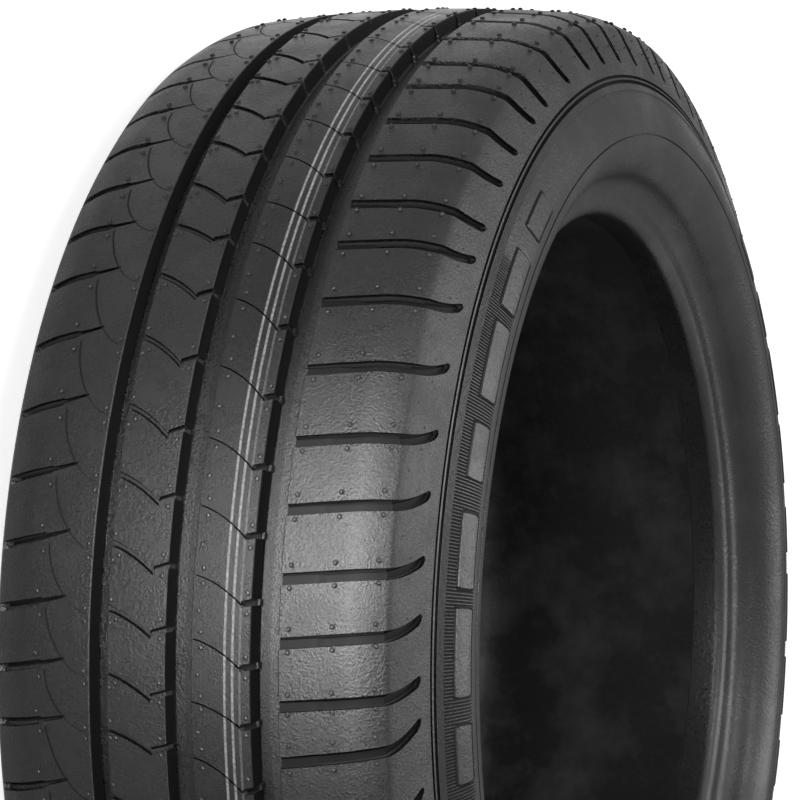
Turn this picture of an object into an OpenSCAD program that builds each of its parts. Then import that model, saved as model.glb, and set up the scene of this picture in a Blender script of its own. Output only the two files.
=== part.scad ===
// Car tyre for a 16 inch wheel, one moulded ring of rubber with a summer tread.
// It lies flat, with its axis along Z and its outboard sidewall up.
// The origin is the centre of the tyre.

/* [Size] */
// Diameter of the two bead seats, where the tyre sits on its rim
seat_d = 405.6; // [404:0.1:407]
// Height of the sidewall, from the bead seats to the top of the tread
side_h = 102.9; // [98:0.1:106]
// Width between the rim flanges that the beads press against
rim_w = 177.8; // [172:0.1:182]
// Width of the tyre over both sidewalls
section_w = 222.6; // [219:0.2:226]

/* [Tread] */
// How far each shoulder corner lies inside the tyre's widest place
shoulder_in = 19.8; // [18:0.1:22]
// How far each shoulder corner lies below the top of the tread
corner_drop = 10.7; // [9:0.1:12]
// Radius of the crown, seen in section
crown_r = 730; // [600:10:900]
// Depth of the three grooves that run round the tread
groove_depth = 7.5; // [6:0.1:8.5]
// Width of the inboard groove
groove_in_w = 8.9; // [7:0.1:10]
// Distance of the inboard groove from the tyre's middle
groove_in_z = 38.4; // [37:0.1:40]
// Width of the middle groove
groove_mid_w = 12.4; // [10:0.1:13]
// Width of the outboard groove
groove_out_w = 12.8; // [10:0.1:13.5]
// Distance of the outboard groove from the tyre's middle
groove_out_z = 39.6; // [38.5:0.1:41]
// How far each groove narrows from its top to its floor, on each side
groove_draft = 1.4; // [0.5:0.1:2]

/* [Slots] */
// Depth of the slots across the shoulders
slot_depth = 6; // [4:0.1:7]
// Depth of the shallow lead-in of an outboard slot and of the rib channels
lead_depth = 1.5; // [1:0.1:2.5]
// Width of an outboard slot
slot_out_w = 4.4; // [3:0.1:5.5]
// Width of an inboard slot at its inner tip
slot_in_tip_w = 1.4; // [1:0.1:2]
// Width of an inboard slot at the shoulder
slot_in_w = 3.2; // [2:0.1:4]
// Width of the shallow channels on the inner ribs
channel_w = 2.4; // [1.6:0.1:3]
// Width of the fine cuts on the centre rib
sipe_w = 0.9; // [0.6:0.1:1.4]
// Width of the short notches at the ends of the rib cuts
notch_w = 2.8; // [2:0.1:3.5]
// Diameter of the small stubs left by the mould's vents
stub_d = 1.8; // [1.2:0.1:2.5]
// Height of those stubs
stub_h = 1; // [0.5:0.1:2]

/* [Pitches] */
// Share of the circle of the shortest pitch
pitch_1 = 4.35; // [4.2:0.01:4.5]
// Share of the circle of the second pitch
pitch_2 = 5.1; // [4.9:0.01:5.2]
// Share of the circle of the third pitch
pitch_3 = 5.6; // [5.4:0.01:5.8]
// Share of the circle of the longest pitch
pitch_4 = 6.2; // [6:0.01:6.4]
// Angle round the axis at which the order of pitches begins
pitch_start = -74.85; // [-90:0.05:-60]

/* [Section] */
// Thickness under the crown, from the tread to the inside
crown_t = 14; // [12:0.5:16]
// Thickness of the sidewall at its widest place
side_t = 8.5; // [7:0.5:10]
// Width of each bead seat
bead_w = 18; // [15:0.5:20]
// Radius of the bead's heel
heel_r = 6.5; // [4:0.5:8]
// Height above the bead seats at which the sidewall leaves the rim flange
flange_h = 20.2; // [18:0.1:22]
// Height of the fine line round the lower sidewall, the widest place, above the bead seats
line_h = 39.1; // [37:0.1:42]
// Width of the flat land that the fine line runs along, on which the tyre lies
land_w = 6; // [4:0.5:8]
// How far the pair of fine grooves lies below the top of the tread
pair_drop = 37.1; // [35:0.1:39]
// Width of each of those fine grooves, and of the rib between them
pair_w = 1.3; // [0.8:0.1:1.6]
// Depth of the fine grooves
fine_depth = 0.8; // [0.4:0.1:1.2]

/* [Hidden] */
$fn = 180;
seat_r = seat_d / 2;
outer_r = seat_r + side_h;
line_r = seat_r + line_h;
pair_r = outer_r - pair_drop;
half_rim = rim_w / 2;
half_w = section_w / 2;
toe_z = half_rim - bead_w;
corner_z = half_w - shoulder_in;
// The crown's arc ends this far inside the shoulder corner.
roll_w = 17.5;
crown_end = corner_z - roll_w;
// The pair of fine grooves lies this far inside the widest place, and is this much
// wider apart at its lower edge.
pair_in = 9.7;
pair_flare = 1.4;
pair_z = half_w - pair_in;
fine_line_w = 0.8;
// Where each cut begins in its pitch, as a length of arc on the tread.
slot_out_arc = 2;
slot_in_arc = 13;
channel_arc = 18.4;
notch_in_arc = 28;
sipe_arc = 1.8;
notch_out_arc = 14.6;
stub_arc = 18;
// Lengths of the notches of the inner and the centre rib, and the stubs' distance
// from the middle groove.
notch_in_l = 6.8;
notch_out_l = 2.7;
stub_in = 3;
// The fine cuts of the ribs are this much shallower than the slots.
rib_less = 1;
// The hook at the end of an outboard slot: where it starts under the tread's top, how
// far up and down it reaches from there, and the step between its points.
hook_top = outer_r - 15.5;
hook_up = -6;
hook_end = 15;
hook_step = 7;
// Cuts run this far into the groove that they open into.
into = 1;
// Points to a curved stretch of the section.
steps = 6;
// Cutters reach this far out of the rubber, and start this far under the tread.
over = 4;
under = 40;
// The order of short and long pitches, in four like runs and a closing one. The
// uneven order spreads the noise that the blocks make on the road.
run = [4, 4, 1, 3, 2, 3, 1, 3, 4, 4, 3, 3, 2, 2, 1];
closing = [2, 2, 1, 3, 2, 2, 2];
order = concat(run, run, run, run, closing);
sizes = [for (k = order) [pitch_1, pitch_2, pitch_3, pitch_4][k - 1]];
mean_size = sum(sizes) / len(sizes);
starts = [for (i = 0, a = 0; i < len(sizes); a = a + sizes[i], i = i + 1) a];

function sum(v, i = 0) = i < len(v) ? v[i] + sum(v, i + 1) : 0;

// A point at share t of the curve that leaves p toward a and reaches q from b.
function curve_at(p, a, b, q, t) =
    p * pow(1 - t, 3) + 3 * a * t * pow(1 - t, 2) + 3 * b * t * t * (1 - t) + q * pow(t, 3);
// The curve's points without its last one, so that curves can follow each other.
function curve(p, a, b, q, n = steps) = [for (i = [0 : n - 1]) curve_at(p, a, b, q, i / n)];
// A curve from p to q. Its handles are shares of the way between them, across and up.
function bend(p, q, u, v, n = steps) = let (d = q - p)
    curve(p, p + [u[0] * d[0], u[1] * d[1]], q - [v[0] * d[0], v[1] * d[1]], q, n);
// Radius of the crown at distance z from the middle.
function crown(z) = outer_r - z * z / (2 * crown_r);
// Angle of a length of arc on the tread.
function arc_angle(length) = length / outer_r * 180 / PI;

// Half of the outside from the middle of the crown to the bead's toe, as [z, r].
corner = [corner_z, outer_r - corner_drop];
crown_edge = [crown_end, crown(crown_end)];
pair_top = [pair_z, pair_r + 1.5 * pair_w];
pair_low = [pair_z + pair_flare, pair_r - 1.5 * pair_w];
widest_out = [half_w, line_r + land_w / 2];
widest_in = [half_w, line_r - land_w / 2];
leaving = [half_rim + 10.6, seat_r + flange_h];
against = [half_rim, seat_r + flange_h / 2];
shoulder_part = concat(
    [for (i = [0 : 2]) [crown_end * i / 3, crown(crown_end * i / 3)]],
    bend(crown_edge, corner, [0.343, 0.101], [0.286, 0.46], 3),
    bend(corner, pair_top, [0.257, 0.082], [0.218, 0.286], 4)
);
side_part = concat(
    [pair_top],
    bend(pair_low, widest_out, [0.386, 0.303], [0.048, 0.322]), [widest_out],
    bend(widest_in, leaving, [0.017, 0.277], [0.551, 0.214]),
    bend(leaving, against, [0.472, 0.157], [0.019, 0.627], 5), [against],
    [for (a = [0 : 15 : 90]) [half_rim - heel_r + heel_r * cos(a), seat_r + heel_r - heel_r * sin(a)]],
    [[toe_z, seat_r]]
);
// The inside from the toe back to the middle of the crown.
toe_h = 5;
inner_toe = [toe_z, seat_r + toe_h];
inner_mid = [half_w - side_t, line_r];
inner_pair = [pair_z + pair_flare / 2 - side_t, pair_r];
inner_shoulder = [corner_z - 13, outer_r - crown_t - 5];
inner_top = [0, outer_r - crown_t];
inner_part = concat(
    bend(inner_toe, inner_mid, [0.125, 0.377], [0.063, 0.431], 8),
    bend(inner_mid, inner_pair, [0.06, 0.4], [0.45, 0.35], 4),
    bend(inner_pair, inner_shoulder, [0.25, 0.45], [0.55, 0.2], 5),
    bend(inner_shoulder, inner_top, [0.229, 0.8], [0.382, 0], 6)
);
half = concat(shoulder_part, side_part, inner_part, [inner_top]);
other_half = [for (i = [len(half) - 2 : -1 : 1]) [-half[i][0], half[i][1]]];

// One groove's cutter, wider at its mouth than at its floor.
module groove(z, w) {
    low = w / 2 - groove_draft;
    floor_r = crown(z) - groove_depth;
    mouth_r = outer_r + over;
    reach = groove_draft * (mouth_r - floor_r) / groove_depth;
    polygon([
        [floor_r, z - low], [mouth_r, z - low - reach],
        [mouth_r, z + low + reach], [floor_r, z + low]
    ]);
}

// The fine line at the widest place and the pair of grooves below the shoulder.
module fine_grooves() {
    for (side = [-1, 1]) {
        for (k = [-1, 1])
            translate([pair_r - k * pair_w, side * (pair_z + (0.55 + 0.22 * k) * pair_flare)])
                square([pair_w, 2 * fine_depth], center = true);
        translate([line_r, side * half_w]) square([fine_line_w, 2 * fine_depth], center = true);
    }
}

// The section stands in the plane that rotate_extrude turns: radius, then height.
module section() {
    difference() {
        polygon([for (p = concat(half, other_half)) [p[1], p[0]]]);
        groove(-groove_in_z, groove_in_w);
        groove(0, groove_mid_w);
        groove(groove_out_z, groove_out_w);
        fine_grooves();
    }
}

// A ring between two depths under the shoulder's outside: what a slot may cut away.
module shoulder_band(depths) {
    inner = [for (p = depths) [p[1] - p[2] * p[4], p[0] - p[2] * p[3]]];
    outer = [for (i = [len(depths) - 1 : -1 : 0])
        [depths[i][1] + over * depths[i][4], depths[i][0] + over * depths[i][3]]];
    rotate_extrude() polygon(concat(inner, outer));
}

// Points of the shoulder's outside as [z, r, depth, normal z, normal r], from a short
// list of [z, depth].
function shoulder_rows(depth_list) = let (
    pts = [for (d = depth_list) [d[0], lookup(d[0], shoulder_part)]]
) [for (i = [0 : len(pts) - 1]) let (
    before = pts[max(i - 1, 0)],
    after = pts[min(i + 1, len(pts) - 1)],
    along = (after - before) / norm(after - before)
) [pts[i][0], pts[i][1], depth_list[i][1], -along[1], along[0]]];

// A ring under the crown between two distances from the middle.
module crown_band(z0, z1, depth) {
    rotate_extrude() polygon([
        [crown(z0) - depth, z0], [outer_r + over, z0],
        [outer_r + over, z1], [crown(z1) - depth, z1]
    ]);
}

// A prism that stands out from the axis, with its outline given as [arc, z].
module radial_prism(outline) {
    translate([outer_r - under, 0, 0]) rotate([90, 0, 90]) linear_extrude(under + over)
        polygon(outline);
}

// Repeats a feature at every pitch. Its place, and each length of arc in it that is
// multiplied by $share, are scaled to the pitch's length.
module at_pitches(arc) {
    for (i = [0 : len(sizes) - 1]) {
        $share = sizes[i] / mean_size;
        rotate([0, 0, pitch_start + 360 * starts[i] / sum(sizes) + arc_angle(arc) * $share])
            children();
    }
}

// A path of [arc, z] scaled to the pitch.
function shared(path) = [for (p = path) [p[0] * $share, p[1]]];

// A strip of even width along a path of [arc, z].
function strip(path, w) = concat(
    [for (p = path) p - [w / 2, 0]],
    [for (i = [len(path) - 1 : -1 : 0]) path[i] + [w / 2, 0]]
);

// Outboard shoulder: a slot from the outboard groove that turns down over the
// shoulder and ends in a short hook.
module outboard_slots() {
    z0 = groove_out_z + groove_out_w / 2 - into;
    z1 = corner_z + over;
    lean = 0.095;
    bend = 0.0008;
    path = [for (i = [0 : 2]) let (s = (z1 - z0) * i / 2) [-lean * s - bend * s * s, z0 + s]];
    end_arc = path[2][0];
    hook_fall = 0.25;
    hook_bend = 0.015;
    low_bend = 0.04;
    hook = concat(
        [for (q = [hook_up : hook_step : hook_end]) [end_arc - slot_out_w / 2 - hook_fall * max(q, 0)
            - hook_bend * q * max(q, 0), hook_top - q]],
        [for (q = [hook_end : -hook_step : hook_up]) [end_arc + slot_out_w / 2 - low_bend * q * max(q, 0),
            hook_top - q]]
    );
    depths = [[z0 - 1, lead_depth], [z0 + 12, lead_depth], [crown_end, slot_depth],
        [corner_z, slot_depth], [pair_z - 4, 2.5], [pair_z - 1.5, 2]];
    intersection() {
        shoulder_band(shoulder_rows(depths));
        at_pitches(slot_out_arc) {
            radial_prism(strip(path, slot_out_w));
            translate([0, 0, corner_z - 6]) linear_extrude(half_w - corner_z)
                polygon([for (p = hook) [p[1], p[0]]]);
        }
    }
}

// Inboard shoulder: a slot that widens outward and runs off over the shoulder.
module inboard_slots() {
    tip = groove_in_z + 16.5;
    end = pair_z;
    rise = 0.17;
    outline = [
        [slot_in_tip_w / 2, -tip], [rise * 12 + slot_in_tip_w, -tip - 11],
        [rise * 14 + slot_in_w, -tip - 12.5], [rise * 24 + slot_in_w, -end],
        [rise * 24, -end], [rise * 12 - slot_in_tip_w / 2, -tip - 12],
        [-slot_in_tip_w / 2, -tip]
    ];
    depths = [[tip - 2, slot_depth - rib_less], [crown_end, slot_depth], [corner_z, slot_depth],
        [pair_z - 4, 3], [pair_z - 1.5, 1.5]];
    intersection() {
        mirror([0, 0, 1]) shoulder_band(shoulder_rows(depths));
        at_pitches(slot_in_arc) radial_prism(outline);
    }
}

// Inner rib between the inboard and middle grooves: a shallow curved channel and a
// notch that opens into the middle groove.
module inner_rib_cuts() {
    z0 = -groove_in_z + groove_in_w / 2 - into;
    z1 = -groove_mid_w / 2 - notch_in_l;
    path = [for (i = [0 : 2]) let (s = i / 2) [7.5 * s + 5 * s * s, z0 + (z1 - z0) * s]];
    intersection() {
        crown_band(z0, z1, lead_depth);
        at_pitches(channel_arc) radial_prism(strip(shared(path), channel_w));
    }
    intersection() {
        crown_band(z1 - 0.5, 0, slot_depth - rib_less);
        at_pitches(notch_in_arc)
            radial_prism(strip([[0.8, z1 - 0.5], [-2, -groove_mid_w / 2 + into]], notch_w));
    }
}

// Centre rib between the middle and outboard grooves: a fine curved cut and a notch
// that opens into the outboard groove.
module centre_rib_cuts() {
    z0 = groove_mid_w / 2 - into;
    z2 = groove_out_z - groove_out_w / 2 + into;
    z1 = z2 - into - notch_out_l;
    path = [for (i = [0 : 2]) let (s = i / 2) [6 * s + 9 * s * s, z0 + (z1 - z0) * s]];
    intersection() {
        crown_band(z0, z1, slot_depth - rib_less);
        at_pitches(sipe_arc) radial_prism(strip(shared(path), sipe_w));
    }
    intersection() {
        crown_band(z1 - 2.5, z2, slot_depth - rib_less);
        at_pitches(notch_out_arc) radial_prism(strip([[0.2, z1 - 2.5], [-0.9, z2]], notch_w));
    }
}

// The small stubs that the mould's vents leave, one to a pitch along the centre rib.
module vent_stubs() {
    at_pitches(stub_arc) translate([outer_r - over, 0, groove_mid_w / 2 + stub_in]) rotate([0, 90, 0])
        cylinder(d = stub_d, h = over + stub_h, $fn = 16);
}

module tyre() {
    color([0.08, 0.08, 0.085]) union() {
        difference() {
            rotate_extrude() section();
            outboard_slots();
            inboard_slots();
            inner_rib_cuts();
            centre_rib_cuts();
        }
        vent_stubs();
    }
}

tyre();
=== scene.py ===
# %% [markdown]
# # A car tyre, lying flat
# The object is one moulded ring of rubber. A press mould gives it its tread, its
# sidewalls and its beads at once, so the whole outside is a single skin.
# Here that skin is made in strips that run round the tyre: the tread ribs, the
# shoulders, the sidewalls and the inside. They meet at the floors of the grooves.

# %% The frame and the modules
import bpy
import numpy as np
from mathutils import Matrix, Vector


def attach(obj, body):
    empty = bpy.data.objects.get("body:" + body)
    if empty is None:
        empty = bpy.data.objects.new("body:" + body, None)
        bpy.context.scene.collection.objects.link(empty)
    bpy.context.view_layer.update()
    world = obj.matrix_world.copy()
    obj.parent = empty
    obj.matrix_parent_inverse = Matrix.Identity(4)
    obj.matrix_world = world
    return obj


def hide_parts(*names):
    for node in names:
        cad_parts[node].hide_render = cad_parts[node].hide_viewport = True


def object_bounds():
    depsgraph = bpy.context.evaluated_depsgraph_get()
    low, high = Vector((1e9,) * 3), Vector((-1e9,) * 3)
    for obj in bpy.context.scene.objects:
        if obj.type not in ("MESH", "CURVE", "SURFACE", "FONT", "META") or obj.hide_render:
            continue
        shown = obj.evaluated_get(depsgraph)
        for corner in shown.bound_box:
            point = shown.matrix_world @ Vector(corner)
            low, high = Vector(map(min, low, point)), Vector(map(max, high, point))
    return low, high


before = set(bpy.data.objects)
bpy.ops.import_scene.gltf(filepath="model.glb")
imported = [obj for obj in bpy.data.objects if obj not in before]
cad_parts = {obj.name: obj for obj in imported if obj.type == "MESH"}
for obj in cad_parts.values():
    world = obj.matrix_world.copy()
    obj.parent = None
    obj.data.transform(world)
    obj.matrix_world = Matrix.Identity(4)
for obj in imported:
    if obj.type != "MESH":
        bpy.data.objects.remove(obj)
cad_box = [list(corner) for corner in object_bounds()]
print("The solid measures", np.round(np.subtract(cad_box[1], cad_box[0]), 4), "m")

# %% [markdown]
# ## Sizes
# A tyre is drawn from its section. The sizes below are those of the solid, in
# millimetres, because tyre makers give them so. The axis is Z and the outboard side,
# the one that faces out from the car, is up.

# %% Driving sizes
MM = 0.001
outer_r = 305.7
crown_r = 730.0
half_w = cad_box[1][2] / MM
corner_z = 91.5
corner_drop = 10.7
crown_end = corner_z - 17.5
pair_r = 268.6
pair_w = 1.3
pair_z = half_w - 9.7
line_r = 241.9
land_w = 6.0
bead_half = 88.9
seat_r = 202.8
bead_top_r = 223.0
heel_r = 6.5
toe_z = bead_half - 18.0
crown_t = 14.0
side_t = 8.5
print("Half the width is", round(half_w, 2), "mm")

# %% [markdown]
# ## The line of the section
# In the section, the crown is one large arc, the shoulder rolls over in a tighter
# curve, and the sidewall bulges and turns in to the bead. Each stretch could be an
# arc of its own, but a curve with two handles meets its neighbours without a kink,
# which is how a mould is drawn.

# %% Curves of the section
def crown(z):
    """Radius of the crown at z: the outside radius less z squared over twice the crown's radius."""
    return outer_r - z * z / (2 * crown_r)


def bend(p, q, u, v, count=24):
    """Points from p to q: p(1-t)^3 + 3a t(1-t)^2 + 3b t^2(1-t) + q t^3. The handles a and b lie
    a share u of the way from p, and a share v of the way back from q, across and up."""
    t = np.linspace(0, 1, count)[:, None]
    p, q = np.asarray(p, float), np.asarray(q, float)
    a, b = p + np.multiply(u, q - p), q - np.multiply(v, q - p)
    return p * (1 - t) ** 3 + 3 * a * t * (1 - t) ** 2 + 3 * b * t * t * (1 - t) + q * t ** 3


corner = np.array([corner_z, outer_r - corner_drop])
crown_edge = np.array([crown_end, crown(crown_end)])
pair_top = np.array([pair_z, pair_r + 1.5 * pair_w + 0.4])
flat = np.linspace(0, crown_end, 60)
shoulder_half = np.concatenate([
    np.stack([flat, crown(flat)], 1)[:-1],
    bend(crown_edge, corner, (0.343, 0.101), (0.286, 0.46))[:-1],
    bend(corner, pair_top, (0.257, 0.082), (0.218, 0.286), 40),
])
tread_line = np.concatenate([(shoulder_half * [-1, 1])[:0:-1], shoulder_half])
print("The tread's line has", len(tread_line), "points")


# %% A line that can be walked along
def walk(line):
    """Distance along a line of [z, r], and its normals: each step turned by a right angle."""
    steps = np.diff(line, axis=0)
    lengths = np.hypot(steps[:, 0], steps[:, 1])
    distance = np.concatenate([[0], np.cumsum(lengths)])
    along = np.gradient(line, distance, axis=0)
    along /= np.linalg.norm(along, axis=1)[:, None]
    return distance, np.stack([-along[:, 1], along[:, 0]], 1)


tread_s, tread_n = walk(tread_line)


def at_z(z):
    """Distance along the tread's line at a distance z from the middle."""
    return np.interp(z, tread_line[:, 0], tread_s)


def sink(line, distance, normals, s, depth):
    """[z, r] at distance s along a line, moved in by depth against the normal."""
    z, r = (np.interp(s, distance, line[:, k]) for k in (0, 1))
    nz, nr = (np.interp(s, distance, normals[:, k]) for k in (0, 1))
    return z - nz * depth, r - nr * depth


print("Shoulder to shoulder it is", round(float(tread_s[-1]), 1), "mm long")

# %% [markdown]
# ## From numbers to a skin
# Every strip is a grid of points: one way round the tyre, the other way across it.
# Four neighbouring points make a face, and the last column joins the first. Sharp
# edges are marked where two faces meet at more than 35 degrees, so that slots stay
# crisp and the rest stays smooth.

# %% Skins and their edges
SHARP = np.radians(35)
SHADE_FROM = 1.95
SHADE_TO = 7.2
skins = []


def ring(radius, angle, z):
    """Points in metres on circles round the axis: radius times the angle's cosine and sine."""
    radius, angle, z = np.broadcast_arrays(radius, angle, z)
    return np.stack([radius * np.cos(angle), radius * np.sin(angle), z], -1) * MM


def add_piece(name, mesh):
    """Puts a mesh into the scene as a piece of that name, and keeps it among the skins."""
    piece = bpy.data.objects.new(name, mesh)
    bpy.context.scene.collection.objects.link(piece)
    skins.append(piece)
    return piece


def keep_painted_shade(mesh, depth):
    """Gives each point its depth under the skin, in millimetres, or a set value in its place, for the
    material to paint shade by.
    """
    depth = depth.reshape(-1).astype(np.float32)
    mesh.attributes.new("depth", "FLOAT", "POINT").data.foreach_set("value", depth)
    return depth


def skin(name, points, depth=None):
    """A closed band of faces over a grid [round, across, xyz], as smooth as its edges allow. Faces
    with all corners deeper than the lower bound of painted shade and less deep than its upper bound take the
    dull black material of painted shade."""
    columns, rows = points.shape[:2]
    index = np.arange(columns * rows).reshape(columns, rows)
    after = np.roll(index, -1, axis=0)
    faces = np.stack([index[:, :-1], after[:, :-1], after[:, 1:], index[:, 1:]], -1).reshape(-1, 4)
    mesh = bpy.data.meshes.new(name)
    mesh.vertices.add(columns * rows)
    mesh.vertices.foreach_set("co", points.reshape(-1))
    mesh.loops.add(faces.size)
    mesh.loops.foreach_set("vertex_index", faces.reshape(-1).astype(np.int32))
    mesh.polygons.add(len(faces))
    mesh.polygons.foreach_set("loop_start", np.arange(0, faces.size, 4, dtype=np.int32))
    mesh.polygons.foreach_set("loop_total", np.full(len(faces), 4, dtype=np.int32))
    mesh.update(calc_edges=True)
    mesh.shade_smooth()
    mesh.set_sharp_from_angle(angle=float(SHARP))
    if depth is not None:
        depth = keep_painted_shade(mesh, depth)
        # Painted shade: faces deep in a cut take the dull black material that stands in for their shade.
        cut = ((depth[faces] > SHADE_FROM) & (depth[faces] < SHADE_TO)).all(axis=1)
        mesh.polygons.foreach_set("material_index", cut.astype(np.int32))
    print(name, "has", 2 * len(faces), "triangles")
    return add_piece(name, mesh)


# %% [markdown]
# ## Pitches
# The tread repeats round the tyre, but not evenly: blocks of four lengths follow each
# other in a mixed order, so that they don't all strike the road at one note. One
# length of block with the gap that goes with it is called a pitch.

# %% The order of the pitches
PITCHES = (4.35, 5.1, 5.6, 6.2)
RUN = (4, 4, 1, 3, 2, 3, 1, 3, 4, 4, 3, 3, 2, 2, 1)
CLOSING = (2, 2, 1, 3, 2, 2, 2)
START = -74.85
order = np.array(4 * RUN + CLOSING)
sizes = np.array(PITCHES)[order - 1]
share = sizes / sizes.mean()
pitch_arc = 2 * np.pi * outer_r * sizes / sizes.sum()
pitch_from = np.radians(START) * outer_r + np.concatenate([[0], np.cumsum(pitch_arc)[:-1]])
print(len(order), "pitches, from", round(pitch_arc.min(), 1), "to", round(pitch_arc.max(), 1), "mm")

# %% [markdown]
# ## A strip of tread
# A rib and its cuts are one height map on a grid that follows the cuts. Across the
# tyre, the rows go down one groove wall, over the rib and down the next. Round the
# tyre, six columns of each pitch trace the cut: its edge, its steep wall, a narrow
# deep part, a ledge, and the other edge. The columns between two cuts are spread
# evenly. Such a grid has true walls with few faces, which a plain fine grid lacks.

# %% Rows and columns of a strip
GROOVE_DEPTH = 7.5
GROOVE_DRAFT = 1.4
EDGE = 0.35
TIE = 2.4
PLAIN_COLUMNS = 13
CUT_COLUMNS = 6
WALL_SHADE = 6.0
PALE_SHADE = 1.2


def groove_side(edge, floor, way):
    """Rows of [z, depth] from a groove's floor up its wall to the rib, which lies that way from it."""
    return np.array([
        [floor, GROOVE_DEPTH], [edge - way * (GROOVE_DRAFT + 0.6), GROOVE_DEPTH],
        [edge - way * (GROOVE_DRAFT - 0.1), GROOVE_DEPTH - 0.7], [edge - way * 0.15, EDGE],
        [edge + way * 0.3, 0]])


def rows_over(left, right, left_floor, right_floor, step, more):
    """Rows of [z, depth] from one groove's middle, up its wall, over the rib and down again."""
    inner = np.arange(left + 1.2, right - 1.2, step)
    top = np.unique(np.round(np.concatenate([inner, np.asarray(more, float)]), 3))
    fall = groove_side(right, right_floor, -1)[:0:-1]
    floor = [[right + TIE, GROOVE_DEPTH], [right + TIE + 0.3, GROOVE_DEPTH], [right_floor, GROOVE_DEPTH]]
    return np.concatenate([groove_side(left, left_floor, 1), np.stack([top, 0 * top], 1), fall, floor])


def strip(name, s, depth, shift, width, parts, depths, anchor, pale=()):
    """A strip of tread. At pitch p and row j a cut starts at anchor + shift[j] along the arc, scaled
    to the pitch, and column c of it lies parts[c, j] of width[j] further on and depths[c, j] deep.
    A depth below zero is a tie that stands in the groove with its top that far under the tread.
    The plain columns divide what is left of the pitch evenly. Pale columns are left out of the
    painted shade, and the tops of the groove's walls are painted black as shade."""
    begin = pitch_from[:, None] + share[:, None] * (anchor + shift)[None, :] - width[None, :] / 2
    cut = begin[:, None, :] + (parts * width)[None, :, :]
    ends = np.roll(begin, -1, axis=0)
    ends[-1] += 2 * np.pi * outer_r
    t = (np.arange(1, PLAIN_COLUMNS + 1) / (PLAIN_COLUMNS + 1))[None, :, None]
    plain = cut[:, -1:, :] * (1 - t) + ends[:, None, :] * t
    arcs = np.concatenate([cut, plain], 1)
    cut_depth = np.where(depths < 0, -depths, np.maximum(depths, depth[None, :]))
    all_depth = np.concatenate([cut_depth, np.repeat(depth[None, :], PLAIN_COLUMNS, 0)], 0)
    columns = arcs.shape[0] * arcs.shape[1]
    angle = arcs.reshape(columns, -1) / outer_r
    sunk = np.tile(all_depth, (len(sizes), 1))
    # Painted shade: the tops of the groove's walls get WALL_SHADE so that they paint black, the tie tops get
    # none, and pale columns stay light.
    shade = np.where(np.isclose(all_depth, EDGE), WALL_SHADE, all_depth)
    shade[:CUT_COLUMNS] = np.where(depths < 0, 0, shade[:CUT_COLUMNS])
    ledge = shade[list(pale)]
    shade[list(pale)] = np.minimum(ledge, np.where(depth > 0, ledge, PALE_SHADE))
    z, r = sink(tread_line, tread_s, tread_n, np.broadcast_to(s, angle.shape), sunk)
    return skin(name, ring(r, angle, z), np.tile(shade, (len(sizes), 1)))


# %% [markdown]
# ## The grooves
# Three grooves run round the tyre. The middle one lies on the centre line and the
# inboard one is the narrowest. They could be strips of their own, but their walls
# belong to the ribs beside them, so that a cut can open into its groove.

# %% Places of the grooves
groove_in = (-42.85, -33.95)
groove_mid = (-6.2, 6.2)
groove_out = (33.2, 46.0)
mid_in, mid_mid, mid_out = (sum(g) / 2 for g in (groove_in, groove_mid, groove_out))
print("Rib widths", round(groove_mid[0] - groove_in[1], 1), round(groove_out[0] - groove_mid[1], 1))

# %% [markdown]
# ## Inner rib
# Each cut of the inner rib is a shallow curved band with a fine deep cut along its
# lower side. It ends at a short wide notch that opens into the middle groove. A
# boolean tool could cut them all, but it leaves ragged faces on a curved skin. Here
# the columns of the grid follow each cut, and its walls come out clean.

# %% Inner rib
def blend(x, knots, values):
    """Values between knots, read along straight lines."""
    return np.interp(x, knots, values)


def cut_profile(z, knots, deep, ledge, far, fine, ledge_from, ledge_to):
    """Shares of the width and depths of the six columns of a cut, at each row: its edge, both sides
    of the fine cut that ends at fine, both sides of the ledge, and its far edge. They are read along
    straight lines between the knots."""
    zero = np.zeros_like(z)
    at_fine = blend(z, knots, fine)
    at_from = blend(z, knots, ledge_from)
    at_to = blend(z, knots, ledge_to)
    parts = np.stack([zero, at_fine * 0.1, at_fine, at_from, at_to, zero + 1])
    d_deep, d_ledge, d_far = (blend(z, knots, v) for v in (deep, ledge, far))
    return parts, np.stack([zero, d_deep, d_deep, d_ledge, d_far, zero])


ROW_STEP = 1.4
CHANNEL_END = -13.1
CHANNEL_DEPTH = 1.4
INNER_START = 18.2
rows = rows_over(groove_in[1], groove_mid[0], mid_in, mid_mid, ROW_STEP, (-13.4, -13.0, -12.6))
z = rows[:, 0]
run_in = np.clip((z - groove_in[1]) / (CHANNEL_END - groove_in[1] + 0.05), 0, None)
channel = z < CHANNEL_END
inner_shift = np.where(channel, 6.6 * run_in + 5.4 * run_in ** 2, 10.7 + 0.29 * (CHANNEL_END - z))
inner_width = blend(z, (-34.0, -13.4), (3.0, 2.9))
zero = np.zeros_like(z)
parts = np.stack([
    zero, np.where(channel, 0.06, 0.04), np.where(channel, 0.18, 0.35), np.where(channel, 0.66, 0.4),
    np.where(channel, 0.76, 0.96), zero + 1])
depths = np.stack([
    zero, np.where(channel, 2.7, 4.8), np.where(channel, CHANNEL_DEPTH, 4.8), zero + CHANNEL_DEPTH,
    np.where(channel, 5.0, CHANNEL_DEPTH), zero])
inner_rib = strip("inner_rib", at_z(z), rows[:, 1], inner_shift, inner_width, parts, depths, INNER_START)

# %% [markdown]
# ## Centre rib
# The centre rib has one fine cut to a pitch, which widens where it meets the short
# notch at the outboard groove. A small tie stands in the groove before each notch. It
# is made from the same columns, raised from the groove's floor.

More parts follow.
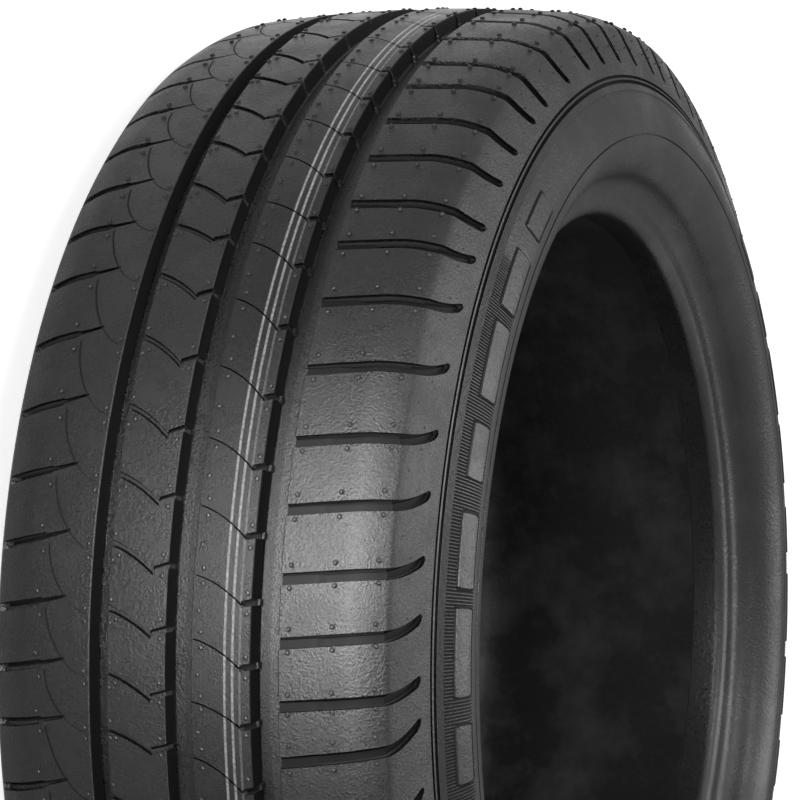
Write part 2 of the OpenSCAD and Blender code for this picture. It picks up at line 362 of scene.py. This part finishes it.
# %% Centre rib
CUT_END = 28.5
CUT_DEPTH = 5.0
NOTCH_W = 2.9
TIE_TOP = 4.2
CENTRE_START = 1.8
rows = rows_over(groove_mid[1], groove_out[0], mid_mid, mid_out, ROW_STEP, (28.2, 28.6, 29.0))
z = rows[:, 0]
run_in = np.clip((z - groove_mid[1]) / 24.6, 0, None)
fine = z < CUT_END
centre_shift = np.where(fine, 5.2 * run_in + 9.8 * run_in ** 2, 12.7 - 0.2 * (z - CUT_END))
centre_width = np.where(fine, 0.75 + 0.5 * run_in ** 3, NOTCH_W)
zero = np.zeros_like(z)
parts = np.stack([zero, zero + 0.04, zero + 0.35, zero + 0.65, zero + 0.96, zero + 1])
cut = np.where(z > groove_out[0] + 0.5, -TIE_TOP, CUT_DEPTH) * (z < groove_out[0] + TIE + 0.1)
depths = np.stack([zero, cut, cut, cut, cut, zero])
centre_rib = strip("centre_rib", at_z(z), rows[:, 1], centre_shift, centre_width, parts, depths,
                   CENTRE_START)

# %% [markdown]
# ## Outboard shoulder
# The long slots of the outboard shoulder are flat, with a fine deep cut along their
# upper side. They start shallow at the groove, roll over the shoulder's corner and
# end in a short round hook, well above the pair of fine grooves. The hook's round end
# is a width that shrinks along a quarter circle.

# %% Outboard shoulder
HOOK_REACH = 20.2
TIP_W = 0.12
OUT_WIDER = 5.1
OUT_START = 2.8
s_edge = at_z(groove_out[1])
s_end = tread_s[-1]
s_corner = at_z(corner_z)
tip_s = s_corner + HOOK_REACH
wall = groove_side(groove_out[1], mid_out, 1)
over = np.concatenate([
    np.arange(s_edge + 1.5, s_corner - 2, 1.9), np.arange(s_corner - 2, tip_s - 4, 1.1),
    np.arange(tip_s - 4, tip_s + 0.3, 0.35), np.linspace(tip_s + 0.8, s_end - 0.4, 5)])
s = np.concatenate([at_z(wall[:, 0]), over, [s_end]])
depth = np.concatenate([wall[:, 1], 0 * over, [0.0]])
reach = np.clip(s - s_edge, 0, None)
past = np.clip(s - (s_corner - 2), 0, None)
out_shift = -0.1 * reach - 0.015 * past ** 2
before_tip = np.clip((tip_s - s) / 2.5, 0, 1)
out_width = TIP_W + OUT_WIDER * np.sqrt(1 - (1 - before_tip) ** 2)
knots = (s_edge, s_edge + 16, s_edge + 19, s_corner, tip_s - 3, tip_s, tip_s + 0.01)
parts, depths = cut_profile(
    s, knots, deep=(5.0, 5.0, 6.0, 5.0, 3.6, 3.0, 0), ledge=(2.3, 2.6, 4.2, 3.8, 3.0, 2.8, 0),
    far=(2.3, 2.6, 4.2, 3.8, 3.0, 2.8, 0), fine=(0.17, 0.19, 0.25, 0.25, 0.16, 0.15, 0.15),
    ledge_from=(0.22, 0.24, 0.3, 0.3, 0.22, 0.2, 0.2), ledge_to=(0.95, 0.95, 0.95, 0.95, 0.94, 0.9, 0.9))
outboard_shoulder = strip("outboard_shoulder", s, depth, out_shift, out_width, parts, depths,
                          OUT_START)

# %% [markdown]
# ## Inboard shoulder
# The inboard slots start as a fine tip and widen in one step over the shoulder, to a
# ledge with a deep cut along its upper side. They end at the shoulder's corner.

# %% Inboard shoulder
SLOT_TIP = -55.0
STEP_BACK = 11.5
IN_START = 13.3
LEDGE_COLUMNS = (3, 4)
s_edge = at_z(groove_in[0])
s_tip = at_z(SLOT_TIP)
s_corner = at_z(-corner_z)
s_out = s_corner + 0.5
wall = groove_side(groove_in[0], mid_in, -1)[::-1]
over = np.concatenate([
    [0.0], np.linspace(2.5, s_out, 9), np.arange(s_out + 0.8, s_tip - 1, 1.4),
    np.arange(s_tip - 0.9, s_tip + 0.6, 0.35), np.arange(s_tip + 1.4, s_edge - 1, 1.6)])
s = np.concatenate([over, at_z(wall[:, 0])])
depth = np.concatenate([0 * over, wall[:, 1]])
reach = np.clip(s_tip - s, 0, None)
in_shift = 0.25 * reach - 0.002 * reach ** 2
step_at = s_tip - STEP_BACK
in_width = blend(s, (0, s_out, s_out + 2, step_at - 1.2, step_at, s_tip - 0.6, s_tip),
                 (1.0, 3.4, 4.2, 3.6, 2.1, 1.4, TIP_W))
knots = (s_out, s_out + 0.8, s_out + 4.5, s_out + 13, step_at, s_tip - 0.5, s_tip)
parts, depths = cut_profile(
    s, knots, deep=(0, 4.4, 5.0, 5.5, 5.5, 4.8, 0), ledge=(0, 2.6, 3.0, 3.3, 3.8, 4.0, 0),
    far=(0, 2.4, 2.8, 3.1, 3.6, 4.0, 0), fine=(0.4, 0.4, 0.42, 0.46, 0.5, 0.6, 0.6),
    ledge_from=(0.5, 0.5, 0.52, 0.56, 0.6, 0.7, 0.7), ledge_to=(0.95, 0.95, 0.95, 0.95, 0.95, 0.94, 0.94))
inboard_shoulder = strip("inboard_shoulder", s, depth, in_shift, in_width, parts, depths,
                         IN_START, LEDGE_COLUMNS)

# %% [markdown]
# ## Scale cuts
# On the inboard shoulder a hairline cut curves from each slot to the tip of the next
# one and on into the groove, like the edge of a fish scale. It is finer than the grid,
# so its shade is painted: each is a thin black ribbon laid on the skin, a quarter of a
# rounded form.

# %% The inboard shoulder's scale cuts
MEAN_PITCH = 2 * np.pi * outer_r / len(order)
SHADE_RIBBON_HEIGHT = 0.06


def scale_cuts(name):
    """A black ribbon along each cut, its painted shade. Along the arc it runs as 18.5 + 31.5 cos(t)^p
    and across as -44 - 21 sin(t)^p, with p = 2 / 1.7, and past its pitch it follows the length of the next."""
    t = np.radians(np.linspace(2, 88, 26))
    power = 2 / 1.7
    u = 18.5 + 31.5 * np.cos(t) ** power
    s = at_z(-44 - 21 * np.sin(t) ** power)
    half = 0.5 * blend(u, (18, 38, 43, 50), (0.85, 0.85, 0.45, 0.35))
    count = len(order)
    starts = np.append(pitch_from, pitch_from[:2] + 2 * np.pi * outer_r)
    along = np.stack([np.gradient(u), np.gradient(s)], 1)
    along /= np.linalg.norm(along, axis=1)[:, None]
    both = np.array([-1.0, 1.0])
    all_u = u[:, None] - both * (half * along[:, 1])[:, None]
    all_s = np.broadcast_to(s[:, None] + both * (half * along[:, 0])[:, None], (count, len(t), 2))
    arcs = np.interp(all_u[None] + MEAN_PITCH * np.arange(count)[:, None, None],
                     MEAN_PITCH * np.arange(count + 2), starts)
    z, r = sink(tread_line, tread_s, tread_n, all_s, np.full(all_s.shape, -SHADE_RIBBON_HEIGHT))
    points = ring(r, arcs / outer_r, z).reshape(-1, 3)
    index = np.arange(count * len(t) * 2).reshape(count, len(t), 2)
    faces = [index[:, :-1, 0], index[:, :-1, 1], index[:, 1:, 1], index[:, 1:, 0]]
    mesh = bpy.data.meshes.new(name)
    mesh.from_pydata(points.tolist(), [], np.stack(faces, -1).reshape(-1, 4).tolist())
    if np.dot(mesh.polygons[0].normal[:2], points[0][:2]) < 0:
        mesh.flip_normals()
    print(name, "are", count, "ribbons of", len(t) - 1, "faces")
    return add_piece(name, mesh)


inboard_scale_cut_shadows = scale_cuts("inboard_scale_cut_shadows")

# %% [markdown]
# ## Sidewalls
# Below the shoulder run two fine grooves with a narrow rib between them, then a band
# of fine radial ribs that hides scuffs, with smooth raised panels in it. The band is
# a height map with a few columns to each fine rib. Below it the sidewall is plain,
# down to a fine line at the widest place, and turns in to the bead.

# %% The side's line
pair_low = np.array([pair_z + 1.4, pair_r - 1.5 * pair_w])
widest_out = np.array([half_w, line_r + land_w / 2])
widest_in = np.array([half_w, line_r - land_w / 2])
leaving = np.array([bead_half + 10.6, bead_top_r])
against = np.array([bead_half, (seat_r + bead_top_r) / 2])
bulge = bend(pair_low, widest_out, (0.386, 0.303), (0.048, 0.322), 60)
bulge_s, bulge_n = walk(bulge)
RIBS_ROUND = 1080
LIP = 3.6
LIP_RISE = 0.5
BAND = 22.0
PLATE = (10.2, 20.8)
band_rows = np.array([
    0, 1.3, LIP, LIP + 0.3, 5.5, 7.6, PLATE[0] - 0.8, PLATE[0], PLATE[0] + 0.5, 12.2, 14.4, 16.6, 18.8,
    PLATE[1] - 0.5, PLATE[1], PLATE[1] + 0.5, BAND, BAND + 0.3])
print("From the fine grooves to the widest place it is", round(float(bulge_s[-1]), 1), "mm")


# %% The band of fine ribs
FIELD_MIDDLE = np.radians(-1.9)
FIELD_HALF = np.radians(44.0)
FIELD_FADE = np.radians(8.0)
PLATE_STEP = np.radians(9.9)
PLATE_HALF = np.radians(4.3)
PLATE_COUNT = 11
PLATE_SHARES = np.array((1.0, 0.66, 0.86))
PLATE_ROUND = 1.5
PLATE_RISE = 0.5
OUTLINE = 0.8
RIB_HEIGHT = 0.7


def turned(angle):
    """The angle from the middle of the nearest of the two opposite fields of ribs, by the rest over
    half a turn."""
    return (angle - FIELD_MIDDLE + np.pi / 2) % np.pi - np.pi / 2


def plate(angle, s):
    """How far inside a raised plate a point is, in millimetres: the plate's corner radius less the
    distance from the box that the corners' centres make."""
    middle = turned(angle) * pair_r
    step = PLATE_STEP * pair_r
    place = np.clip(np.round(middle / step), -(PLATE_COUNT // 2), PLATE_COUNT // 2)
    half = PLATE_HALF * pair_r * PLATE_SHARES[place.astype(int) % len(PLATE_SHARES)]
    along = np.abs(middle - place * step) - half + PLATE_ROUND
    across = np.abs(s - sum(PLATE) / 2) - (PLATE[1] - PLATE[0]) / 2 + PLATE_ROUND
    past_corner = np.hypot(np.maximum(along, 0), np.maximum(across, 0))
    return PLATE_ROUND - past_corner - np.minimum(np.maximum(along, across), 0)


def band(name, side, per):
    """The sidewall's upper part: the bulge's line with a lip, fine ribs and plates. Each rib has
    per columns, half of them up. The ribs sink in over the first degrees of their field."""
    columns = per * RIBS_ROUND
    angle = np.arange(columns)[:, None] * 2 * np.pi / columns + 0 * band_rows[None, :]
    s = band_rows[None, :] + 0 * angle
    low = (np.arange(columns) % per >= per // 2)[:, None] * 1.0
    inside = plate(angle, s)
    field = np.clip((FIELD_HALF - np.abs(turned(angle))) / FIELD_FADE, 0, 1)
    ribs = field * (s > LIP + 0.1) * (s < BAND + 0.1) * (inside < -OUTLINE)
    lip = np.clip(s / LIP, 0, 1) * (s < LIP + 0.1)
    outline = (inside > -OUTLINE) & (inside <= 0) & (s < BAND)
    height = LIP_RISE * lip - RIB_HEIGHT * low * ribs * np.clip((BAND + 0.5 - s) / 4, 0, 1)
    height = np.where(inside > 0, PLATE_RISE, np.where(outline, -RIB_HEIGHT, height))
    # Painted shade: the low half of each fine rib and the plates' outlines are painted black as the shade in
    # them.
    shade = WALL_SHADE * np.where(outline, 1.0, low * ribs)
    z, r = sink(bulge, bulge_s, bulge_n, s, -height)
    points = ring(r, angle, side * np.minimum(z, half_w))
    return skin(name, points[:, ::side], depth=shade[:, ::side])


# %% Both bands
outboard_band = band("outboard_band", 1, 4)
inboard_band = band("inboard_band", -1, 2)

# %% [markdown]
# ## The pair of fine grooves
# Two fine grooves part the shoulder from the sidewall. They could be cut into the band
# above, but their line is the same all the way round, so it is turned about the axis.

# %% The pair of fine grooves
def pair_profile():
    """[z, r, shade] across the two fine grooves: down, along the floor and up, twice. The shade is
    twice the depth, so that the floors are painted black as shade.
    """
    out = (pair_low - pair_top) / np.linalg.norm(pair_low - pair_top)
    normal = np.array([-out[1], out[0]])
    marks = [(0, 0), (0.1, 2.6), (1.35, 2.6), (1.45, 0.1), (2.5, 0.1), (2.6, 2.6), (4.2, 2.6), (4.35, 0)]
    line = [pair_top + a * out - d * normal for a, d in marks]
    return np.array([[*point, 2 * d] for point, (a, d) in zip(line, marks)] + [[*pair_low, 0]])


def lathe(name, line, count, side):
    """A band of faces from a line of [z, r] turned once round the axis, or of [z, r, shade], whose
    third column the material paints shade by.
    """
    angle = np.arange(count)[:, None] * 2 * np.pi / count
    points = ring(line[None, :, 1], angle, side * line[None, :, 0])
    depth = np.repeat(line[None, :, 2], count, 0)[:, ::side] if line.shape[1] > 2 else None
    return skin(name, points[:, ::side], depth=depth)


outboard_pair = lathe("outboard_pair", pair_profile(), 720, 1)
inboard_pair = lathe("inboard_pair", pair_profile(), 720, -1)


# %% [markdown]
# ## Lower sidewalls and beads
# Below the band, the sidewall runs over its widest place and in to the bead, the hard
# edge of the tyre. These are plain turned shapes.

# %% Lower sidewalls
def lower_line():
    """[z, r] from the end of the band over the fine line and round the bead to its toe."""
    upper = bulge[bulge_s > BAND + 0.3]
    first = np.array(sink(bulge, bulge_s, bulge_n, np.array([BAND + 0.3]), 0)).T
    notch = [[half_w, line_r + 0.45], [half_w - 0.7, line_r + 0.3], [half_w - 0.7, line_r - 0.3],
             [half_w, line_r - 0.45]]
    lower = bend(widest_in, leaving, (0.017, 0.277), (0.551, 0.214), 14)
    under = bend(leaving, against, (0.472, 0.157), (0.019, 0.627), 9)
    turn = np.radians(np.arange(0, 91, 15))
    heel = np.stack([bead_half - heel_r + heel_r * np.cos(turn), seat_r + heel_r - heel_r * np.sin(turn)], 1)
    toe = [[toe_z, seat_r], [toe_z - 0.6, seat_r + 1.2]]
    return np.concatenate([first, upper, notch, lower, under[1:], heel, toe])


outboard_wall = lathe("outboard_wall", lower_line(), 450, 1)
inboard_wall = lathe("inboard_wall", lower_line(), 450, -1)

# %% [markdown]
# ## The inside
# The inside is a smooth air-tight liner. It is seen through the opening, where the
# sidewalls stop at the beads.

# %% Liner
def liner_half():
    """[z, r] from the bead's toe up the inside of the wall to the middle of the crown."""
    toe = np.array([toe_z, seat_r + 5])
    inner_mid = np.array([half_w - side_t, line_r])
    inner_pair = np.array([pair_z + 0.7 - side_t, pair_r])
    inner_shoulder = np.array([corner_z - 13, outer_r - crown_t - 5])
    return np.concatenate([
        [[toe_z - 0.6, seat_r + 1.2]],
        bend(toe, inner_mid, (0.125, 0.377), (0.063, 0.431), 10)[:-1],
        bend(inner_mid, inner_pair, (0.06, 0.4), (0.45, 0.35), 5)[:-1],
        bend(inner_pair, inner_shoulder, (0.25, 0.45), (0.55, 0.2), 6)[:-1],
        bend(inner_shoulder, [0, outer_r - crown_t], (0.229, 0.8), (0.382, 0), 8)])


half_line = liner_half()
liner_line = np.concatenate([half_line, (half_line * [-1, 1])[-2::-1]])
liner = lathe("liner", liner_line, 360, 1)

# %% [markdown]
# ## Stubs
# Air leaves the mould through small vents, and the rubber that follows it leaves a
# stub at each. They stand beside the slots in the same places in every pitch, given as
# z and the way along the arc. Each is a low turned cap, and all of them are one piece.

# %% Stubs of the vents
STUB_R = 1.35
STUB_H = 0.7
STUB_MORE = 0.3
STUB_ROOT = 0.5
STUBS = (
    (50.4, -3.8), (69.7, -5.6), (87.2, -7.6), (50.2, 6.6), (69.9, 4.7), (87.6, 2.6),
    (94.4, 10.2), (96.6, -10.6), (96.6, -0.6),
    (-32.9, -3.6), (-32.6, 14.4), (-8.8, 22.6), (-8.7, 31.4), (-30.0, 23.4),
    (10.6, -1.2), (10.7, 5.9), (31.3, 9.4), (31.2, 18.8), (9.2, 18.0),
    (-45.4, 18.8), (-45.2, 24.8), (-68.0, 22.6), (-69.6, 11.6),
)


def stubs(name):
    """A cap at each place of each pitch: rings of 8 points at three heights along the normal."""
    place = np.array(STUBS)
    s = np.repeat(at_z(place[:, 0])[None, :], len(sizes), 0)
    arcs = pitch_from[:, None] + share[:, None] * place[None, :, 1]
    turn = np.arange(8) * np.pi / 4
    levels = np.array([(1.0, 0.0), (0.82, 0.72), (0.4, 1.0)])
    out = np.abs(place[:, 0])
    small = out > corner_z - 1.5
    radius = STUB_R * np.where(small, 0.45, 1.0)[:, None, None] * levels[:, 0][:, None] + 0 * turn
    ds = radius * np.cos(turn)
    da = radius * np.sin(turn)
    tall = np.where(small, 0.4, STUB_H + STUB_MORE * (out > groove_out[1]))
    deep = STUB_ROOT - (tall[:, None, None] + STUB_ROOT) * levels[:, 1][:, None] + 0 * turn
    all_s = s[..., None, None] + ds
    all_a = arcs[..., None, None] + da
    z, r = sink(tread_line, tread_s, tread_n, all_s, np.broadcast_to(deep[None], all_s.shape))
    points = ring(r, all_a / outer_r, z).reshape(-1, 24, 3)
    base = np.arange(8)
    after = np.roll(base, -1)
    quads = np.concatenate([np.stack([base, base + 8, after + 8, after], 1) + 8 * k for k in (0, 1)])
    offset = (np.arange(len(points)) * 24)[:, None, None]
    faces = (quads[None] + offset).reshape(-1, 4).tolist()
    caps = (np.arange(23, 15, -1)[None, :] + offset[:, 0]).tolist()
    mesh = bpy.data.meshes.new(name)
    mesh.from_pydata(points.reshape(-1, 3).tolist(), [], faces + caps)
    # Painted shade: the caps' sides are painted black as the shade at each stub's foot, and their tops are
    # left as rubber.
    keep_painted_shade(mesh, np.tile(np.repeat([WALL_SHADE, 0.6 * WALL_SHADE, 0.0], 8), len(points)))
    mesh.shade_smooth()
    mesh.set_sharp_from_angle(angle=float(SHARP))
    print(name, "are", len(points), "caps")
    return add_piece(name, mesh)


vent_stubs = stubs("vent_stubs")

# %% [markdown]
# ## Rubber
# Tyre rubber is black with a satin skin. Its shine comes from a broad, rough gloss,
# broken by a fine grain from the mould and by patches where the release agent
# dried. In a cut little light finds its way back out, so it looks black. That shade
# is painted: the shader reads how deep each point lies and paints the cuts black, and
# the floors of the slots take a dull black material of painted shade. That needs no
# picture baked into the cuts and follows them exactly.

# %% Building blocks for materials
def new_material(name):
    """An empty node material with its Principled shader."""
    material = bpy.data.materials.new(name)
    material.use_nodes = True
    return material, material.node_tree.nodes, material.node_tree.links


def noise(nodes, links, source, scale, detail=3.0, rough=0.5):
    """A noise pattern of that scale, per metre."""
    node = nodes.new("ShaderNodeTexNoise")
    node.inputs["Scale"].default_value = scale
    node.inputs["Detail"].default_value = detail
    node.inputs["Roughness"].default_value = rough
    links.new(source, node.inputs["Vector"])
    return node.outputs["Fac"]


def remap(nodes, links, value, low, high, to_low, to_high):
    """A value stretched from one range to another and held within it."""
    node = nodes.new("ShaderNodeMapRange")
    for socket, number in zip(("From Min", "From Max", "To Min", "To Max"), (low, high, to_low, to_high)):
        node.inputs[socket].default_value = number
    links.new(value, node.inputs["Value"])
    return node.outputs["Result"]


def math_node(nodes, links, operation, *values):
    """One sum of the shader, with numbers or sockets as its terms."""
    node = nodes.new("ShaderNodeMath")
    node.operation = operation
    for socket, value in zip(node.inputs, values):
        if isinstance(value, (int, float)):
            socket.default_value = value
        else:
            links.new(value, socket)
    return node.outputs[0]


COLOUR_A, COLOUR_B, COLOUR_OUT = 6, 7, 2


def mix_colour(nodes, links, share_of, first, second):
    """A colour between two, by a share from 0 to 1. The Mix node has its colours in sockets 6, 7 and 2."""
    node = nodes.new("ShaderNodeMix")
    node.data_type = "RGBA"
    links.new(share_of, node.inputs["Factor"])
    for socket, value in ((node.inputs[COLOUR_A], first), (node.inputs[COLOUR_B], second)):
        if isinstance(value, tuple):
            socket.default_value = value
        else:
            links.new(value, socket)
    return node.outputs[COLOUR_OUT]


# %% Rubber with its grain
BLACK = (0.006, 0.006, 0.0063, 1)
DUSTY = (0.035, 0.035, 0.0355, 1)
PALE = (0.14, 0.14, 0.142, 1)
# Black painted into the cuts as the shade that fills them.
PAINTED_SHADE = (0.002, 0.002, 0.002, 1)
RUBBER_IOR = 1.52


def rubber(name, shine_low, shine_high, grain, patches, dusty=DUSTY, gloss=0.5, bump_height=0.0005):
    """Black rubber: patchy colour and roughness from soft noise, and a bump from fine noise. It is
    painted black as shade where the depth lies between 2 and 7 mm, and dull as well where it is under 5 mm."""
    material, nodes, links = new_material(name)
    shader = nodes["Principled BSDF"]
    place = nodes.new("ShaderNodeTexCoord").outputs["Object"]
    soft = noise(nodes, links, place, patches, 4.0, 0.6)
    fine = noise(nodes, links, place, grain, 4.0, 0.65)
    depth = nodes.new("ShaderNodeAttribute")
    depth.attribute_name = "depth"
    # Painted shade: the depth attribute turns the colour black in the cuts, as the shade in them.
    cut = math_node(nodes, links, "MULTIPLY", remap(nodes, links, depth.outputs["Fac"], 1.3, 2.6, 0.0, 1.0),
                    remap(nodes, links, depth.outputs["Fac"], 6.9, 7.4, 1.0, 0.0))
    colour = mix_colour(nodes, links, remap(nodes, links, soft, 0.45, 0.8, 0.0, 1.0), BLACK, dusty)
    colour = mix_colour(nodes, links, cut, colour, PAINTED_SHADE)
    links.new(colour, shader.inputs["Base Color"])
    mixed = math_node(nodes, links, "ADD", soft, math_node(nodes, links, "MULTIPLY", fine, 0.8))
    shine = remap(nodes, links, mixed, 0.7, 1.1, shine_high, shine_low)
    not_wall = remap(nodes, links, depth.outputs["Fac"], 4.9, 5.6, 0.6, 0.0)
    dull = math_node(nodes, links, "MULTIPLY", cut, not_wall)
    rough = math_node(nodes, links, "ADD", shine, dull)
    links.new(rough, shader.inputs["Roughness"])
    shader.inputs["IOR"].default_value = RUBBER_IOR
    shader.inputs["Specular IOR Level"].default_value = gloss
    bump = nodes.new("ShaderNodeBump")
    bump.inputs["Strength"].default_value = 0.6
    bump.inputs["Distance"].default_value = bump_height
    links.new(fine, bump.inputs["Height"])
    links.new(bump.outputs["Normal"], shader.inputs["Normal"])
    return material, nodes, links, colour


tread_rubber = rubber("tread_rubber", 0.15, 0.4, 850, 45, bump_height=0.0007)[0]
side_rubber = rubber("side_rubber", 0.24, 0.42, 500, 30)[0]
liner_rubber = rubber("liner_rubber", 0.45, 0.65, 300, 20, PALE)[0]
stub_rubber = rubber("stub_rubber", 0.12, 0.25, 1200, 45)[0]
# A dull black material for the shade in cuts: painted shade.
painted_shade_rubber, nodes, links = new_material("painted_shade_rubber")
for socket, value in (("Base Color", PAINTED_SHADE), ("Roughness", 0.6), ("Specular IOR Level", 0.2)):
    nodes["Principled BSDF"].inputs[socket].default_value = value
print("Rubbers:", [m.name for m in (tread_rubber, side_rubber, liner_rubber, stub_rubber, painted_shade_rubber)])

# %% [markdown]
# ### Painted lines
# Two bright lines and a greyer one mark the centre rib, with thin dark gaps between.
# They could be a picture, but a band of colour chosen by height along the axis is exact.

# %% The centre rib's paint
PAINT = (0.8, 0.8, 0.8, 1)
LINES = ((21.7, 0.55, 0.9), (25.3, 0.55, 0.9), (28.6, 0.5, 0.3))
LINE_BLUR = 0.2


def add_lines(parts_of):
    """Mixes the paint in where the distance of z from a line's middle is less than half its width.
    Each line is its middle, half its width and its strength."""
    material, nodes, links, colour = parts_of
    place = nodes.new("ShaderNodeTexCoord").outputs["Object"]
    split = nodes.new("ShaderNodeSeparateXYZ")
    links.new(place, split.inputs[0])
    worn = noise(nodes, links, place, 700, 3.0, 0.7)
    worn = remap(nodes, links, worn, 0.3, 0.6, 0.35, 1.0)
    total = None
    for middle, half_width, strength in LINES:
        beside = math_node(nodes, links, "SUBTRACT", split.outputs["Z"], middle * MM)
        off = math_node(nodes, links, "ABSOLUTE", beside)
        near, far = (half_width - LINE_BLUR) * MM, (half_width + LINE_BLUR) * MM
        line = remap(nodes, links, off, near, far, strength, 0.0)
        total = line if total is None else math_node(nodes, links, "MAXIMUM", total, line)
    total = math_node(nodes, links, "MULTIPLY", total, worn)
    painted = mix_colour(nodes, links, total, colour, PAINT)
    links.new(painted, nodes["Principled BSDF"].inputs["Base Color"])
    return material


painted_rubber = add_lines(rubber("painted_rubber", 0.15, 0.4, 1300, 45, gloss=0.38))
print(len(LINES), "lines on", painted_rubber.name)


# %% Rubber on the skins
finishes = {"centre_rib": painted_rubber, "liner": liner_rubber, "vent_stubs": stub_rubber,
            "inboard_scale_cut_shadows": painted_shade_rubber, "outboard_band": side_rubber, "inboard_band": side_rubber,
            "outboard_pair": side_rubber, "inboard_pair": side_rubber, "outboard_wall": side_rubber,
            "inboard_wall": side_rubber}
for piece in skins:
    piece.data.materials.append(finishes.get(piece.name, tread_rubber))
    # Pieces with the depth attribute take the painted shade material as their second slot.
    if "depth" in piece.data.attributes and piece.name != "vent_stubs":
        piece.data.materials.append(painted_shade_rubber)
    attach(piece, "root")
    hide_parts("tyre")
print(len(skins), "pieces ride on the root")

# %% [markdown]
# ## Floor, light and camera
# The tyre lies on a pale floor. The camera is turned by a quarter so that the tyre
# stands upright in the picture, as a tyre on a shelf would. Black rubber shows what
# it mirrors more than what falls on it. So one flat lamp stands low before the
# outboard blocks, for their sheen alone. One hangs above and behind the tyre, for the
# roll of its shoulder, and one fills in. The studio's far wall is dim in the gloss.

# %% Floor
FLOOR = 30.0
FLOOR_GLOW = 0.85
FLOOR_MIRRORED = 0.25
low = -half_w * MM
corners = [(-FLOOR, -FLOOR, low), (FLOOR, -FLOOR, low), (FLOOR, FLOOR, low), (-FLOOR, FLOOR, low)]
floor_mesh = bpy.data.meshes.new("floor")
floor_mesh.from_pydata(corners, [], [(0, 1, 2, 3)])
floor = bpy.data.objects.new("floor", floor_mesh)
bpy.context.scene.collection.objects.link(floor)
floor_white, nodes, links = new_material("floor_white")
shader = nodes["Principled BSDF"]
shader.inputs["Base Color"].default_value = (0.8, 0.8, 0.8, 1)
shader.inputs["Roughness"].default_value = 1.0
shader.inputs["Emission Color"].default_value = (1, 1, 1, 1)
path = nodes.new("ShaderNodeLightPath")
white = math_node(nodes, links, "MULTIPLY", path.outputs["Is Camera Ray"], FLOOR_GLOW)
mirrored = math_node(nodes, links, "MULTIPLY", path.outputs["Is Glossy Ray"], FLOOR_MIRRORED)
links.new(math_node(nodes, links, "ADD", white, mirrored), shader.inputs["Emission Strength"])
floor_mesh.materials.append(floor_white)
print("The floor lies at", round(low, 4), "m")

# %% World
EVEN_LIGHT = 0.2
DIM_WALL = 0.1
BRIGHT_WALL = 0.55
world = bpy.data.worlds.new("studio")
world.use_nodes = True
bpy.context.scene.world = world
nodes, links = world.node_tree.nodes, world.node_tree.links
nodes["Background"].inputs["Color"].default_value = (1, 1, 1, 1)
path = nodes.new("ShaderNodeLightPath")
direction = nodes.new("ShaderNodeSeparateXYZ")
links.new(nodes.new("ShaderNodeTexCoord").outputs["Generated"], direction.inputs[0])
wall = remap(nodes, links, direction.outputs["X"], -0.95, -0.6, DIM_WALL, BRIGHT_WALL)
mirrored = math_node(nodes, links, "MULTIPLY", path.outputs["Is Glossy Ray"], wall)
tent = math_node(nodes, links, "ADD", mirrored, EVEN_LIGHT)
strength = math_node(nodes, links, "MAXIMUM", path.outputs["Is Camera Ray"], tent)
links.new(strength, nodes["Background"].inputs["Strength"])
print("The studio's wall mirrors at", DIM_WALL, "to", BRIGHT_WALL)


# %% Lamps
def softbox(name, place, aim, size, power, sheen_only=False):
    """A flat lamp at a place, turned to shine at a point, in metres and watts. It can be for the sheen
    only, and then leaves the diffuse light as it is."""
    lamp = bpy.data.lights.new(name, "AREA")
    lamp.shape = "RECTANGLE"
    lamp.size, lamp.size_y = size
    lamp.energy = power
    holder = bpy.data.objects.new(name, lamp)
    bpy.context.scene.collection.objects.link(holder)
    back = np.subtract(place, aim)
    back = back / np.linalg.norm(back)
    side = np.cross((0, 0, 1), back)
    side = side / np.linalg.norm(side)
    up = np.cross(back, side)
    matrix = np.eye(4)
    matrix[:3, :3] = np.stack([side, up, back], 1)
    matrix[:3, 3] = place
    holder.matrix_world = Matrix(matrix.tolist())
    holder.visible_camera = False
    holder.visible_diffuse = not sheen_only
    return holder


softbox("front", (0.6, -0.135, 0.095), (0.2, -0.135, 0.095), (0.27, 0.28), 3.6, True)
softbox("front_low", (0.6, -0.135, -0.005), (0.2, -0.135, -0.005), (0.27, 0.08), 0.25, True)
softbox("above", (-0.52, -0.27, 1.46), (0.28, -0.07, 0.1), (1.0, 0.9), 10)
softbox("fill", (1.0, -0.9, 1.6), (0.2, 0, 0), (0.8, 0.8), 10)
print([light.name for light in bpy.data.lights])

# %% Camera
CAMERA_AT = (1.6862, -0.1492, 0.6568)
RIGHT = np.array([-0.3733, -0.0037, 0.9277])
DOWN = np.array([0.0185, 0.9998, 0.0114])
FOCAL_PIXELS = 3600.0
PICTURE = 800
camera_data = bpy.data.cameras.new("camera")
camera_data.sensor_width = 36.0
camera_data.lens = FOCAL_PIXELS / PICTURE * camera_data.sensor_width
camera = bpy.data.objects.new("camera", camera_data)
bpy.context.scene.collection.objects.link(camera)
right = RIGHT / np.linalg.norm(RIGHT)
up = -DOWN + right * np.dot(right, DOWN)
up = up / np.linalg.norm(up)
turn = np.eye(4)
turn[:3, :3] = np.stack([right, up, np.cross(right, up)], 1)
turn[:3, 3] = CAMERA_AT
camera.matrix_world = Matrix(turn.tolist())
camera_data.clip_end = 200.0
bpy.context.scene.camera = camera
bpy.context.scene.view_settings.view_transform = "Standard"
print("The lens is", round(camera_data.lens, 1), "mm long")
